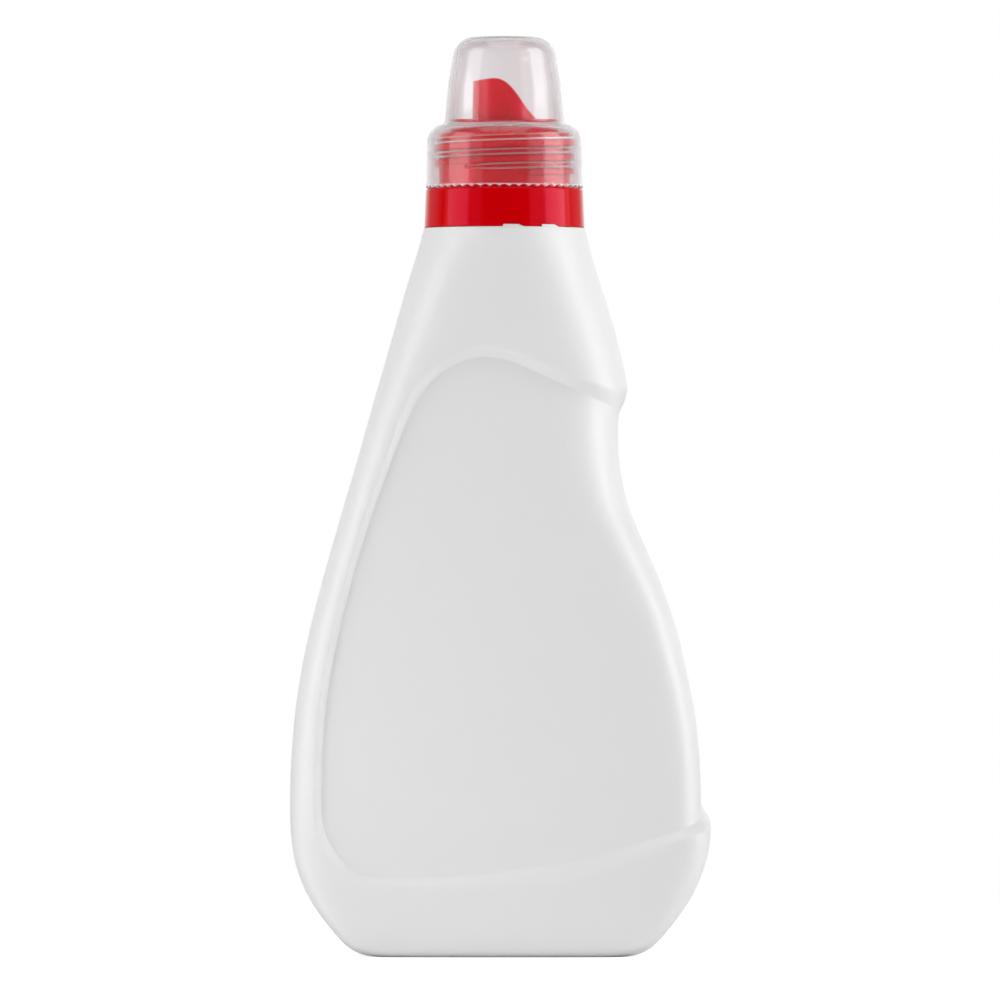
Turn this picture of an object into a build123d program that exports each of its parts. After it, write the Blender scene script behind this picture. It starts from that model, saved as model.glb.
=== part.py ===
"""Plastic bottle with a pouring spout and a dosing cap.

Frame: millimetres, Z up, origin at the middle of the standing face, grip towards +X,
spout pouring towards -X, front label panel towards -Y.
"""
import bisect
import math
import os

from build123d import *

# Blown bottle
bottle_height = 213.5          # standing face to the ledge that the collar stands on
bottle_half_width = 61.7       # widest half of the front view
bottle_half_depth = 33.0       # widest half of the side view
bottle_wall = 1.0
side_round = 4.8               # how far the rounded ends reach in, low on the bottle
side_fullness_share = 0.5      # how much fuller they are there than the ends of an ellipse
foot_width = 6.0               # width of the standing ring
push_up = 3.0                  # height of the dished middle of the base
push_up_slope = 7.0            # how far in the dish reaches its height
panel_depth = 2.4              # how far the label panel and grip lie under the bottle's skin
panel_side_depth = 1.0         # and how far their form lies in from the left side
front_bow_share = 0.06         # how much the front falls away from its middle to its sides

# Neck, with the walls round it from the inside out
neck_offset = 1.3              # the neck stands this far towards the grip
neck_bore_radius = 16.2
neck_wall = 1.4
neck_height = 26.8             # ledge to mouth
thread_wall_gap = 0.6          # between the neck and the spout's threaded wall
thread_wall = 1.2
thread_space = 2.15            # between the threaded wall and the cap's skirt
cap_wall = 1.15
cap_taper = 0.4                # the cap's skirt widens by this to its rim
collar_taper = 0.45            # the collar widens by this to the bottle's shoulder
neck_radius = neck_bore_radius + neck_wall
thread_wall_radius = neck_radius + thread_wall_gap + thread_wall
cap_skirt_radius = thread_wall_radius + thread_space + cap_wall     # top of the skirt's line
cap_rim_radius = cap_skirt_radius + cap_taper                       # the collar's top is flush with it
shoulder_radius = cap_rim_radius + collar_taper                     # round top of the blown shoulder

# Ratchet lugs that stop the spout from turning back
lug_count = 2                  # on each of the two opposite sides
lug_step = 29.0                # degrees between lugs
lug_first = -1.0               # degrees from the front to the first lug's steep side
lug_turn = 11.0                # degrees that a lug's top takes
lug_ramp = 5.0                 # degrees that its run-up takes
lug_height = 0.75
lug_setback = 0.1              # inside the edge of the ledge
lug_clearance = 0.12

# Pouring spout, heights over the bottle's ledge
collar_height = 11.7
collar_wall = 1.3
collar_gap = 0.15              # shadow gap over the bottle's ledge
collar_round = 0.8
thread_wall_lift = 0.6         # its foot over the ledge
flange_thickness = 1.2         # rests on the bottle's mouth
flange_bevel = 0.8
ring_wall = 1.2
ring_rise = 3.8                # over the flange
plug_clearance = 0.3           # round the trough and its ring, inside the neck
plug_depth = 11.0              # how far the trough hangs under the bottle's mouth
trough_floor = 1.2
trough_tilt = 7.0              # degrees, so that what runs back leaves by the slot
spout_radius = 9.8             # at the floor of the trough
spout_tip_radius = 9.25
spout_wall = 1.15
spout_rise = 11.8              # pouring lip over the ring
slot_width = 5.0
plug_radius = neck_bore_radius - plug_clearance

# Dosing cap, heights over its rim
cap_gap = 0.15                 # between the cap's rim and the collar
cap_height = 44.65
cap_crown = 0.3                # the top's slight dome
cap_shoulder_gap = 1.25        # the end of the skirt's line stands this far over the spout's flange
cap_shoulder_rise = 1.6
cap_shoulder_round = 5.2
cup_gap = 0.65                 # between the spout's ring and the foot of the cup
cup_foot_round = 1.4
cup_bend_share = 0.456         # of the cup's height, from its foot
cup_bend_taper = 1.1           # the cup narrows by this from its foot to its bend
cup_bend_round = 25.0
cup_top_taper = 2.25           # and by this from its bend to its top
cup_top_round = 6.4

core_depth_share = 0.39        # the middle of the bottle, where the grip side is cut straight through
overrun = 5.0                  # how far cutting bodies pass what they cut

# Skin of the bottle, from the standing face up. Each row: share of the height, then shares of the way
# from the round shoulder to the widest size, for the left side, the right side, the depth, and the left
# and right rounding.
skin_shares = [
    (0.0000, 0.396, 0.353, 0.190, 1.00, 1.00),
    (0.0045, 0.502, 0.467, 0.408, 1.00, 1.00),
    (0.0135, 0.582, 0.553, 0.560, 1.00, 1.00),
    (0.0260, 0.650, 0.626, 0.665, 1.00, 1.00),
    (0.0410, 0.717, 0.697, 0.755, 1.00, 1.00),
    (0.0620, 0.800, 0.786, 0.830, 1.00, 1.00),
    (0.1000, 0.912, 0.908, 0.915, 1.00, 1.00),
    (0.1550, 0.987, 1.000, 0.980, 1.00, 1.00),
    (0.2200, 1.000, 0.996, 1.000, 0.99, 1.00),
    (0.3300, 0.965, 0.930, 0.985, 0.98, 0.95),
    (0.4300, 0.875, 0.820, 0.930, 0.95, 0.86),
    (0.5200, 0.752, 0.690, 0.840, 0.94, 0.76),
    (0.6100, 0.612, 0.560, 0.720, 0.93, 0.66),
    (0.7000, 0.470, 0.432, 0.580, 0.91, 0.55),
    (0.7850, 0.339, 0.340, 0.410, 0.78, 0.43),
    (0.8600, 0.221, 0.238, 0.250, 0.54, 0.30),
    (0.9300, 0.112, 0.111, 0.108, 0.36, 0.20),
    (0.9700, 0.044, 0.044, 0.040, 0.20, 0.12),
    (1.0000, 0.000, 0.000, 0.000, 0.00, 0.00),
]

# Sunk panel and grip, in the same shares; the panel's depths come off the left side and the depth
sunk_shares = [
    (0.080, 0.861, 0.786, 0.840, 1.00, 1.00),
    (0.130, 0.965, 0.890, 0.945, 1.00, 1.00),
    (0.190, 1.000, 0.930, 0.995, 0.99, 1.00),
    (0.256, 0.993, 0.922, 1.000, 0.99, 1.00),
    (0.322, 0.968, 0.889, 0.985, 0.98, 0.98),
    (0.388, 0.920, 0.816, 0.955, 0.96, 0.95),
    (0.455, 0.845, 0.721, 0.905, 0.95, 0.91),
    (0.520, 0.752, 0.586, 0.840, 0.94, 0.85),
    (0.571, 0.672, 0.459, 0.775, 0.93, 0.79),
    (0.620, 0.597, 0.344, 0.705, 0.93, 0.72),
    (0.670, 0.518, 0.283, 0.625, 0.92, 0.65),
    (0.720, 0.437, 0.263, 0.540, 0.90, 0.56),
    (0.770, 0.362, 0.276, 0.440, 0.80, 0.46),
    (0.830, 0.264, 0.205, 0.315, 0.62, 0.36),
]

# Edge of the panel in the front view, from the brow over the grip, along the top, down the left side and
# along the foot to the grip side: shares of the half width and of the height, then the slope of the
# panel's edge there
panel_edge_shares = [
    (0.558, 0.7500, 0.35),
    (0.458, 0.7620, 1.20),
    (0.345, 0.7780, 1.90),
    (0.222, 0.7930, 1.80),
    (0.094, 0.8100, 1.65),
    (-0.061, 0.8200, 1.55),
    (-0.236, 0.8060, 1.35),
    (-0.345, 0.7800, 1.15),
    (-0.487, 0.6980, 1.00),
    (-0.600, 0.6080, 1.00),
    (-0.741, 0.4660, 1.00),
    (-0.817, 0.3520, 1.00),
    (-0.842, 0.2300, 1.00),
    (-0.830, 0.1800, 1.00),
    (-0.770, 0.1430, 1.10),
    (-0.662, 0.1170, 1.30),
    (-0.520, 0.1125, 1.60),
    (-0.189, 0.1145, 1.75),
    (0.061, 0.1227, 1.80),
    (0.269, 0.1310, 1.90),
    (0.534, 0.1500, 2.00),
    (0.874, 0.1785, 1.60),
    (0.953, 0.2050, 0.25),
]
brow_exit_shares = (0.660, 0.815)       # where the sloped brow runs out past the grip side
step_exit_shares = (1.052, 0.165)       # where the sloped step runs out past the grip side

# Lip of the spout in the front view: shares of its tip radius, and of the way from the ring to the lip
lip_back_share = 0.960                  # height of the lip's pouring side
lip_shares = [
    (-0.24, 1.000),
    (0.08, 0.889),
    (0.34, 0.684),
    (0.50, 0.513),
    (0.68, 0.308),
    (0.97, 0.060),
]

# Places of a section's points along each of its quarters, from its side to the middle of its face
section_shares = [0, 0.11, 0.20, 0.28, 0.35, 0.42, 0.50, 0.60, 0.73, 0.87, 1]
section_steps = 180                     # fine steps that the length of a quarter is measured in


def between(low, high, share):
    """A size on the way from low to high."""
    return low + (high - low) * share


def row_sizes(row, side_drop, drop, inset):
    """Height, left, right, half depth and the two pairs of end shapes of one section of the bottle.

    An end's shape is how far its rounding reaches in, and the power that its depth rises with."""
    height = inset + row[0] * (bottle_height - 2 * inset)
    left = between(neck_offset - shoulder_radius, -bottle_half_width, row[1]) + side_drop + inset
    right = between(neck_offset + shoulder_radius, bottle_half_width, row[2]) - inset
    depth = between(shoulder_radius, bottle_half_depth, row[3]) - drop - inset
    ends = [between(shoulder_radius, side_round, share) - inset * (1 - share) for share in row[4:]]
    powers = [1 - side_fullness_share * share for share in row[4:]]
    return height, left, right, depth, *ends, *powers


def quarter_points(width, depth, end, rise_power, bow):
    """Points of a quarter section, from its side to the middle of its face, at shares of its length."""
    turns = [math.pi / 2 * k / section_steps for k in range(section_steps)]
    power = end / width
    fine = [(width * math.cos(turn) ** power, depth * math.sin(turn) ** rise_power) for turn in turns]
    fine.append((0, depth))
    lengths = [0]
    for before, after in zip(fine, fine[1:]):
        lengths.append(lengths[-1] + math.dist(before, after))
    out = []
    for share in section_shares:
        k = max(1, bisect.bisect_left(lengths, share * lengths[-1]))
        part = (share * lengths[-1] - lengths[k - 1]) / (lengths[k] - lengths[k - 1])
        x, y = [between(a, b, part) for a, b in zip(fine[k - 1], fine[k])]
        out.append((x, y * (1 - bow * (x / width) ** 2)))
    return out


def section(sizes, grow=0):
    """One flat closed section of the bottle: two faces and two rounded ends in one smooth loop."""
    height, left, right, depth, left_end, right_end, left_power, right_power = sizes
    middle = (left + right) / 2
    width = (right - left) / 2 + grow
    bow = front_bow_share * (1 - min(1, right_end / width))
    right_quarter = quarter_points(width, depth + grow, min(right_end, width), right_power, bow)
    left_quarter = quarter_points(width, depth + grow, min(left_end, width), left_power, bow)
    loop = right_quarter[:-1]
    loop += [(-x, y) for x, y in reversed(left_quarter)]
    loop += [(-x, -y) for x, y in left_quarter[1:]]
    loop += [(x, -y) for x, y in reversed(right_quarter[1:-1])]
    points = [(middle + x, y, height) for x, y in loop]
    pace = []
    for quarter in (0, 2):
        pace += [quarter + share for share in section_shares[:-1]]
        pace += [quarter + 2 - share for share in section_shares[:0:-1]]
    return make_face(Edge.make_spline(points, periodic=True, parameters=pace + [4]))


def body_loft(rows, side_drop, drop, inset):
    """Smooth body through the sections of a table of rows."""
    return loft([section(row_sizes(row, side_drop, drop, inset)) for row in rows])


def sunk_depth_at(x, height):
    """Half depth of the sunk panel under one point of the front view."""
    rows = [row_sizes(row, panel_side_depth, panel_depth, 0) for row in sunk_shares]
    height = min(max(height, rows[0][0]), rows[-1][0])
    for low, high in zip(rows, rows[1:]):
        if low[0] <= height <= high[0]:
            break
    share = (height - low[0]) / (high[0] - low[0])
    sizes = [between(a, b, share) for a, b in zip(low[1:], high[1:])]
    left, right, depth, left_end, right_end, left_power, right_power = sizes
    middle = (left + right) / 2
    width = (right - left) / 2
    end, power = (right_end, right_power) if x > middle else (left_end, left_power)
    across = min(1, abs(x - middle) / width)
    return depth * (1 - across ** (2 * width / end)) ** (power / 2)


def step_out(place, before, after, size):
    """A place moved out of the panel, square to the way along the panel's edge."""
    run = math.dist(before, after)
    return place[0] + (after[1] - before[1]) / run * size, place[1] + (before[0] - after[0]) / run * size


def panel_edge(plane_depth, inset):
    """Face that the panel's cutting body has at one depth in front of the middle plane."""
    core = core_depth_share * bottle_half_depth
    places = [(x * bottle_half_width, z * bottle_height) for x, z, slope in panel_edge_shares]
    exits = (brow_exit_shares, step_exit_shares)
    brow_exit, step_exit = [(x * bottle_half_width, z * bottle_height) for x, z in exits]
    moved = []
    for k, (x, z) in enumerate(places):
        before = places[max(k - 1, 0)]
        after = places[min(k + 1, len(places) - 1)]
        slope = panel_edge_shares[k][2]
        shift = inset * math.hypot(1, slope) + slope * (plane_depth - max(core, sunk_depth_at(x, z)))
        moved.append(step_out((x, z), before, after, shift))
    first = step_out(moved[0], brow_exit, places[0], inset)
    last = step_out(moved[-1], places[-1], step_exit, inset)
    moved = [first] + moved[1:-1] + [last]
    far = bottle_half_width + 4 * overrun
    brow = (brow_exit[0] + first[0] - places[0][0], brow_exit[1] + first[1] - places[0][1])
    step = (step_exit[0] + last[0] - places[-1][0], step_exit[1] + last[1] - places[-1][1])
    plane = Plane(origin=(0, -plane_depth, 0), x_dir=(1, 0, 0), z_dir=(0, -1, 0))
    outline = Spline(*moved) + Polyline(last, step, (far, step[1]), (far, brow[1]), brow, first)
    return plane * make_face(outline)


def panel_cutter(inset):
    """Body that clears the front panel, the grip side and the back panel down to the sunk form."""
    core = core_depth_share * bottle_half_depth
    sloped = loft([panel_edge(core, inset), panel_edge(bottle_half_depth + overrun, inset)], ruled=True)
    middle = extrude(panel_edge(core, inset), amount=-2 * core)
    return sloped + middle + mirror(sloped, Plane.XZ)


def bottle_form(inset):
    """Outer form of the bottle, or with an inset the form of its hollow."""
    skin = body_loft(skin_shares, 0, 0, inset)
    sunk = body_loft(sunk_shares, panel_side_depth, panel_depth, inset)
    return skin - panel_cutter(inset) + sunk


def push_up_dish(grow):
    """Dished middle of the base, or with a growth the form that its hollow must leave clear."""
    foot = row_sizes(skin_shares[0], 0, 0, 0)
    low = [0, foot[1] + foot_width, foot[2] - foot_width, foot[3] - foot_width, *foot[4:]]
    high = [push_up, low[1] + push_up_slope, low[2] - push_up_slope, low[3] - push_up_slope, *foot[4:]]
    sections = [section(low, grow), section(high, grow)]
    dish = loft(sections, ruled=True)
    dish += extrude(sections[0], amount=-overrun)
    return Pos(0, 0, grow) * dish


def at_neck(piece, height=0):
    """Stand a piece on the neck's axis, at a height over the bottle's ledge."""
    return Pos(neck_offset, 0, bottle_height + height) * piece


def upright(radius, low, high):
    """Round body between two heights over the ledge."""
    return Cylinder(radius, high - low, align=(Align.CENTER, Align.CENTER, Align.MIN)).moved(Pos(0, 0, low))


def lug_teeth(clearance):
    """Ratchet teeth at the places of the lugs, or with a clearance the bodies that cut their notches."""
    rise = lug_height + clearance
    top = math.radians(lug_turn) * shoulder_radius + clearance
    ramp = math.radians(lug_ramp) * shoulder_radius
    outline = Polyline(
        (-clearance, -lug_height),
        (-clearance, rise),
        (top, rise),
        (top + ramp, 0),
        (top + ramp, -lug_height),
        close=True,
    )
    face = Plane.XZ.offset(shoulder_radius - collar_wall - clearance) * make_face(outline)
    tooth = extrude(face, amount=collar_wall + overrun)
    turns = [side + lug_first + k * lug_step for side in (0, 180) for k in range(lug_count)]
    return [Rot(0, 0, turn) * tooth for turn in turns]


def make_bottle():
    """Blown bottle with its hollow, neck, dished base and ratchet lugs."""
    hollow = bottle_form(bottle_wall) - push_up_dish(bottle_wall)
    hollow += at_neck(upright(neck_bore_radius, -2 * bottle_wall, neck_height + overrun))
    body = bottle_form(0) - push_up_dish(0)
    body += at_neck(upright(neck_radius, -bottle_wall / 2, neck_height))
    for tooth in lug_teeth(0):
        body += at_neck(tooth & upright(shoulder_radius - lug_setback, -bottle_wall / 2, 2 * lug_height))
    return body - hollow


def spout_shell():
    """Collar, threaded wall, flange, ring and trough wall in one turned body."""
    flange_top = neck_height + flange_thickness
    ring_top = flange_top + ring_rise
    foot = neck_height - plug_depth
    wall_inside = thread_wall_radius - thread_wall
    outline = Polyline(
        (shoulder_radius - collar_wall, collar_gap),
        (shoulder_radius, collar_gap),
        (cap_rim_radius, collar_height),
        (thread_wall_radius, collar_height),
        (thread_wall_radius, flange_top - flange_bevel),
        (thread_wall_radius - flange_bevel, flange_top),
        (plug_radius, flange_top),
        (plug_radius, ring_top),
        (plug_radius - ring_wall, ring_top),
        (plug_radius - ring_wall, foot),
        (plug_radius, foot),
        (plug_radius, neck_height),
        (wall_inside, neck_height),
        (wall_inside, thread_wall_lift),
        (thread_wall_radius, thread_wall_lift),
        (thread_wall_radius, collar_height - collar_wall),
        (cap_rim_radius - collar_wall, collar_height - collar_wall),
        close=True,
    )
    face = make_face(outline)
    corner = face.vertices().sort_by_distance((cap_rim_radius, collar_height, 0))[0]
    face = fillet(corner, collar_round)
    for lip in [(plug_radius, ring_top, 0), (plug_radius - ring_wall, ring_top, 0)]:
        face = fillet(face.vertices().sort_by_distance(lip)[0], ring_wall / 3)
    return revolve(Plane.XZ * face, Axis.Z)


def spout_lip_cutter(low, high):
    """Body over the scoop's lip, between the height of the ring and that of the lip."""
    places = [(x * spout_tip_radius, between(low, high, z)) for x, z in lip_shares]
    out = spout_radius + overrun
    back_height = between(low, high, lip_back_share)
    outline = Spline(*places) + Polyline(
        places[-1],
        (out, low - overrun),
        (out, high + overrun),
        (-out, high + overrun),
        (-out, back_height),
        places[0],
    )
    return extrude(Plane.XZ * make_face(outline), amount=out, both=True)


def make_pour_spout():
    """Closure fitment: turned shell, tilted trough floor, scoop and drain slot."""
    ring_top = neck_height + flange_thickness + ring_rise
    tip = ring_top + spout_rise
    foot = neck_height - plug_depth
    inside = plug_radius - ring_wall / 2
    floor_height = foot + trough_floor + inside * math.tan(math.radians(trough_tilt))
    floor = Pos(0, 0, floor_height) * Rot(0, trough_tilt, 0) * Box(3 * inside, 3 * inside, trough_floor)
    floor &= upright(inside, foot, neck_height)
    stand = (Align.CENTER, Align.CENTER, Align.MIN)
    tube = Pos(0, 0, foot) * Cone(spout_radius, spout_tip_radius, tip - foot, align=stand)
    inner, inner_tip = spout_radius - spout_wall, spout_tip_radius - spout_wall
    bore = Pos(0, 0, foot) * Cone(inner, inner_tip, tip - foot, align=stand)
    tube -= spout_lip_cutter(ring_top, tip)
    slot_foot = floor_height + trough_floor / 2 - spout_radius * math.tan(math.radians(trough_tilt))
    slot = Box(2 * spout_radius, slot_width, tip, align=(Align.MIN, Align.CENTER, Align.MIN))
    body = spout_shell() + floor + tube - bore - Pos(0, 0, slot_foot) * (slot & upright(spout_radius, 0, tip))
    for tooth in lug_teeth(lug_clearance):
        body -= tooth
    return at_neck(body)


def cap_form(inset):
    """Outer form of the cap, or with an inset the form of its inside."""
    skirt_height = neck_height + flange_thickness + cap_shoulder_gap - collar_height - cap_gap
    cup_foot = plug_radius + cup_gap + cap_wall
    cup_bend = cup_foot - cup_bend_taper
    slope = cap_shoulder_rise / (cap_skirt_radius - cup_foot)
    drop = inset * (math.hypot(1, slope) - slope)
    top = cap_height - inset
    corners = [
        (cap_rim_radius - inset, 0),
        (cap_skirt_radius - inset, skirt_height - drop),
        (cup_foot - inset, skirt_height + cap_shoulder_rise - drop),
        (cup_bend - inset, between(skirt_height + cap_shoulder_rise, cap_height, cup_bend_share)),
        (cup_bend - cup_top_taper - inset, top - cap_crown),
    ]
    rounds = [cap_shoulder_round - inset, cup_foot_round + inset, cup_bend_round, cup_top_round - inset]
    face = make_face(Polyline((0, 0), *corners, (0, top), close=True))
    for (x, z), radius in zip(corners[1:], rounds):
        face = fillet(face.vertices().sort_by_distance((x, z, 0))[0], radius)
    return revolve(Plane.XZ * face, Axis.Z)


def make_dosing_cap():
    """Translucent cap: skirt, rounded shoulder and measuring cup with one wall all over."""
    return at_neck(cap_form(0) - cap_form(cap_wall), collar_height + cap_gap)


os.makedirs("parts", exist_ok=True)
export_step(make_bottle(), "parts/bottle.step")
export_step(make_pour_spout(), "parts/pour_spout.step")
export_step(make_dosing_cap(), "parts/dosing_cap.step")
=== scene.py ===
"""Waisted white bottle with a sunk panel, a red pouring spout in a collar, and a translucent dosing cap.

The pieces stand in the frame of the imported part: metres, Z up, the front towards -Y, the grip towards +X.
Sizes below are in millimetres, as on a maker's drawing, and become metres where a mesh is made.
"""
import math

import bmesh
import bpy
import numpy as np
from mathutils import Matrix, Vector, geometry


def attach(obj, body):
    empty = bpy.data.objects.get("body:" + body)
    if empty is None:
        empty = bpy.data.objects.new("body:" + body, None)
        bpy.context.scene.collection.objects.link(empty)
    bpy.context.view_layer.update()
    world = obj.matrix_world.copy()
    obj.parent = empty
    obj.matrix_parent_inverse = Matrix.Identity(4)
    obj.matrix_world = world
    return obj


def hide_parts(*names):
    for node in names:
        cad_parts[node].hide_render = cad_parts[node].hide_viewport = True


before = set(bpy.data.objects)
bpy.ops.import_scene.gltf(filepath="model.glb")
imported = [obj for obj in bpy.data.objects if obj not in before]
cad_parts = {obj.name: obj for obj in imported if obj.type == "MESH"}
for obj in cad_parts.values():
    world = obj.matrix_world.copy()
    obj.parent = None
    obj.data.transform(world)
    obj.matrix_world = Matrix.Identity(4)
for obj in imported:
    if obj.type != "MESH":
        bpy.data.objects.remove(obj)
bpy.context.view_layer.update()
bpy.ops.object.select_all(action="DESELECT")

MM = 0.001
TURN = 2 * math.pi

# Bottle
LEDGE = 213.5              # height of the ledge that the collar stands on
HALF_WIDTH = 61.58         # the parting line stands proud of it, up to the solid's own width
HALF_DEPTH = 33.0
SIDE_ROUND = 4.8
SIDE_FULLNESS = 0.5        # how much fuller the ends of a low section are than those of an ellipse
PANEL_DEPTH = 2.4
PANEL_SIDE_DEPTH = 1.0
FRONT_BOW = 0.06
WALL = 1.0
PUSH_UP = 3.0
AXIS = 1.3                 # the neck stands this far towards the grip
SHOULDER = 23.55
NECK = 17.6
NECK_HEIGHT = 26.8
NECK_RINGS = 6             # rings of faces up the neck
MOUTH_EDGE = 0.6           # the mouth draws in over this height
MOUTH_DRAW = 0.35          # and by this
LEDGE_EDGE = 0.4           # width of the ledge's outermost ring of faces
# Foot from the standing edge inwards, as steps in and up: standing ring, rise of the dish, dish
FOOT_STEPS = [(1.0, 0.0), (4.0, 0.0), (0.9, 0.12), (0.9, 0.5), (1.6, 1.1), (2.0, 0.85), (1.4, 0.33),
              (3.0, 0.1), (5.0, 0.0), (4.0, 0.0)]

# Pouring spout, heights over the ledge
COLLAR_TOP = 23.1
COLLAR_HEIGHT = 11.7
COLLAR_WALL = 1.3
COLLAR_GAP = 0.15
COLLAR_ROUND = 0.8
THREAD_ROOT = 19.4
THREAD_WALL = 1.2
THREAD_FOOT = 0.6
FLANGE_TOP = 28.0
FLANGE_BEVEL = 0.8
PLUG = 15.9
RING_WALL = 1.2
RING_TOP = 31.8
PLUG_FOOT = 15.8
TROUGH_FLOOR = 1.2
TROUGH_TILT = 7.0
SPOUT_FOOT = 9.8
SPOUT_TIP = 9.25
SPOUT_WALL = 1.15
TIP_HEIGHT = 43.6
SLOT_WIDTH = 5.0
SLOT_ROUND = 1.6
SLOT_MIDDLE_SHARE = 0.75   # its middle, as a share of the way from the axis to the spout's wall
LUG_TURNS = [-1.0, 28.0, 179.0, 208.0]
LUG_TOP_TURN = 11.0
LUG_RAMP_TURN = 5.0
LUG_HEIGHT = 0.75
LUG_CLEARANCE = 0.12
LUG_SETBACK = 0.1          # inside the edge of the ledge
LUG_ROUND = 0.12
LUG_ROOT = -0.4            # its foot, in the ledge
LUG_SINK = 0.05            # how far under the ledge its run-up starts
NOTCH_OVERRUN = 1.0        # how far a notch's cutting body passes the collar, outwards and down
NOTCH_OVERRUN_INSIDE = 0.3

# Lip of the scoop, as shares of its tip's radius and of its height over the ring
LIP_SHARES = [(-1.0, 0.96), (-0.62, 0.985), (-0.24, 1.0), (0.08, 0.889), (0.34, 0.684), (0.5, 0.513),
              (0.68, 0.308), (1.0, 0.03)]
# Rounding of that lip: steps in from its outer or inner side, and over it
LIP_EDGE = [(0.12, 0.14), (0.38, 0.24)]

# Right-hand threads; turns in degrees count from the front towards the grip, and a height is that of the
# ridge's middle there
PITCH = 4.2
CAP_THREAD = {"turn": -29.0, "height": 17.55, "turns": 2.4}
SPOUT_THREAD = {"turn": 10.0, "height": 15.75, "turns": 2.55}
CAP_THREAD_ROOT = 21.65
RUN_OUT = 24.0             # turn over which a ridge sinks into its wall at both ends
RUN_OUT_DEPTH = 0.3        # how far under the wall its ends lie
RIDGE_STEPS = 160          # steps of a ridge in one turn
# Sections of the two ridges: steps from the wall, and from the ridge's middle
CAP_RIDGE = [(0.45, -1.05), (-0.3, -1.0), (-1.4, -0.5), (-1.4, 0.4), (-0.3, 0.85), (0.45, 0.9)]
SPOUT_RIDGE = [(-0.4, -1.15), (0.3, -1.05), (1.4, -0.6), (1.5, -0.35), (1.5, 0.25), (1.4, 0.5), (0.3, 1.15),
               (-0.4, 1.3)]

# Dosing cap, heights over its rim: radius, height, rounding
RIM = 11.85                # height of the rim over the ledge
CAP_WALL = 1.15
CAP_CORNERS = [(23.1, 0.0, 0.0), (22.7, 17.4, 5.2), (17.7, 19.0, 1.4), (16.6, 30.72, 25.0),
               (14.35, 44.35, 6.4)]
CAP_TOP = 44.65
RIM_EDGE = 0.12            # width of the rim's small slanted edges
RIM_EDGE_HEIGHT = 0.14
RIM_BAND = 1.0             # height of the ring of faces over them
ARCHES = 50                # fine arches round its rim
ARCH_STEPS = 8             # steps of the rim in one arch
ARCH_HEIGHT = 0.62
ARCH_HALF = 0.4            # share of an arch's step that half its opening takes

# Sections of the bottle's skin from the standing face up: share of the height, then shares of the way from
# the round shoulder to the widest size for the left, the right, the depth, and the left and right rounding
SKIN_SHARES = [
    (0.0000, 0.396, 0.353, 0.190, 1.00, 1.00),
    (0.0045, 0.502, 0.467, 0.408, 1.00, 1.00),
    (0.0135, 0.582, 0.553, 0.560, 1.00, 1.00),
    (0.0260, 0.650, 0.626, 0.665, 1.00, 1.00),
    (0.0410, 0.717, 0.697, 0.755, 1.00, 1.00),
    (0.0620, 0.800, 0.786, 0.830, 1.00, 1.00),
    (0.1000, 0.912, 0.908, 0.915, 1.00, 1.00),
    (0.1550, 0.987, 1.000, 0.980, 1.00, 1.00),
    (0.2200, 1.000, 0.996, 1.000, 0.99, 1.00),
    (0.3300, 0.965, 0.930, 0.985, 0.98, 0.95),
    (0.4300, 0.875, 0.820, 0.930, 0.95, 0.86),
    (0.5200, 0.752, 0.690, 0.840, 0.94, 0.76),
    (0.6100, 0.612, 0.560, 0.720, 0.93, 0.66),
    (0.7000, 0.470, 0.432, 0.580, 0.91, 0.55),
    (0.7850, 0.339, 0.340, 0.410, 0.78, 0.43),
    (0.8600, 0.221, 0.238, 0.250, 0.54, 0.30),
    (0.9300, 0.112, 0.111, 0.108, 0.36, 0.20),
    (0.9700, 0.044, 0.044, 0.040, 0.20, 0.12),
    (1.0000, 0.000, 0.000, 0.000, 0.00, 0.00),
]

# The same for the sunk panel and grip; its depth comes off the left side and the depth
SUNK_SHARES = [
    (0.080, 0.861, 0.786, 0.840, 1.00, 1.00),
    (0.130, 0.965, 0.890, 0.945, 1.00, 1.00),
    (0.190, 1.000, 0.930, 0.995, 0.99, 1.00),
    (0.256, 0.993, 0.922, 1.000, 0.99, 1.00),
    (0.322, 0.968, 0.889, 0.985, 0.98, 0.98),
    (0.388, 0.920, 0.816, 0.955, 0.96, 0.95),
    (0.455, 0.845, 0.721, 0.905, 0.95, 0.91),
    (0.520, 0.752, 0.586, 0.840, 0.94, 0.85),
    (0.571, 0.672, 0.459, 0.775, 0.93, 0.79),
    (0.620, 0.597, 0.344, 0.705, 0.93, 0.72),
    (0.670, 0.518, 0.283, 0.625, 0.92, 0.65),
    (0.720, 0.437, 0.263, 0.540, 0.90, 0.56),
    (0.770, 0.362, 0.276, 0.440, 0.80, 0.46),
    (0.830, 0.264, 0.205, 0.315, 0.62, 0.36),
]

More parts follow.
